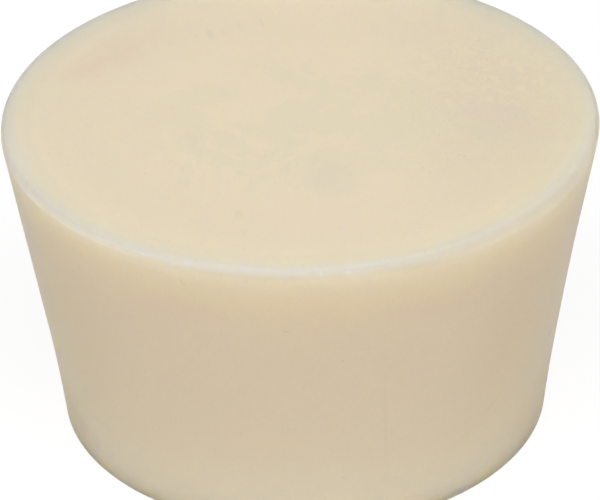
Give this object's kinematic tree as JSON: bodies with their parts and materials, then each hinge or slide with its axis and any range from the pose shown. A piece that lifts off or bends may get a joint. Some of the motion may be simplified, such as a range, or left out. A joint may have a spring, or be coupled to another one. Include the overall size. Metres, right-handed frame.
{
  "type": "rubber stopper",
  "caption": "Solid tapered rubber stopper with flat ends, rounded edges and a gentler taper at its nose, pressed into a neck or tube to close it.",
  "frame": {"origin": "centre of the small end's flat face, which the stopper stands on", "axes": "+Z runs along the stopper's axis from the small end to the large end; it is round, so X and Y are free, and -Y faces the viewer of the picture"},
  "size_m": [0.0448, 0.0448, 0.025],
  "materials": {
    "gum_rubber": "satin"
  },
  "bodies": {
    "root": {"stopper": "gum_rubber"}
  },
  "joints": []
}
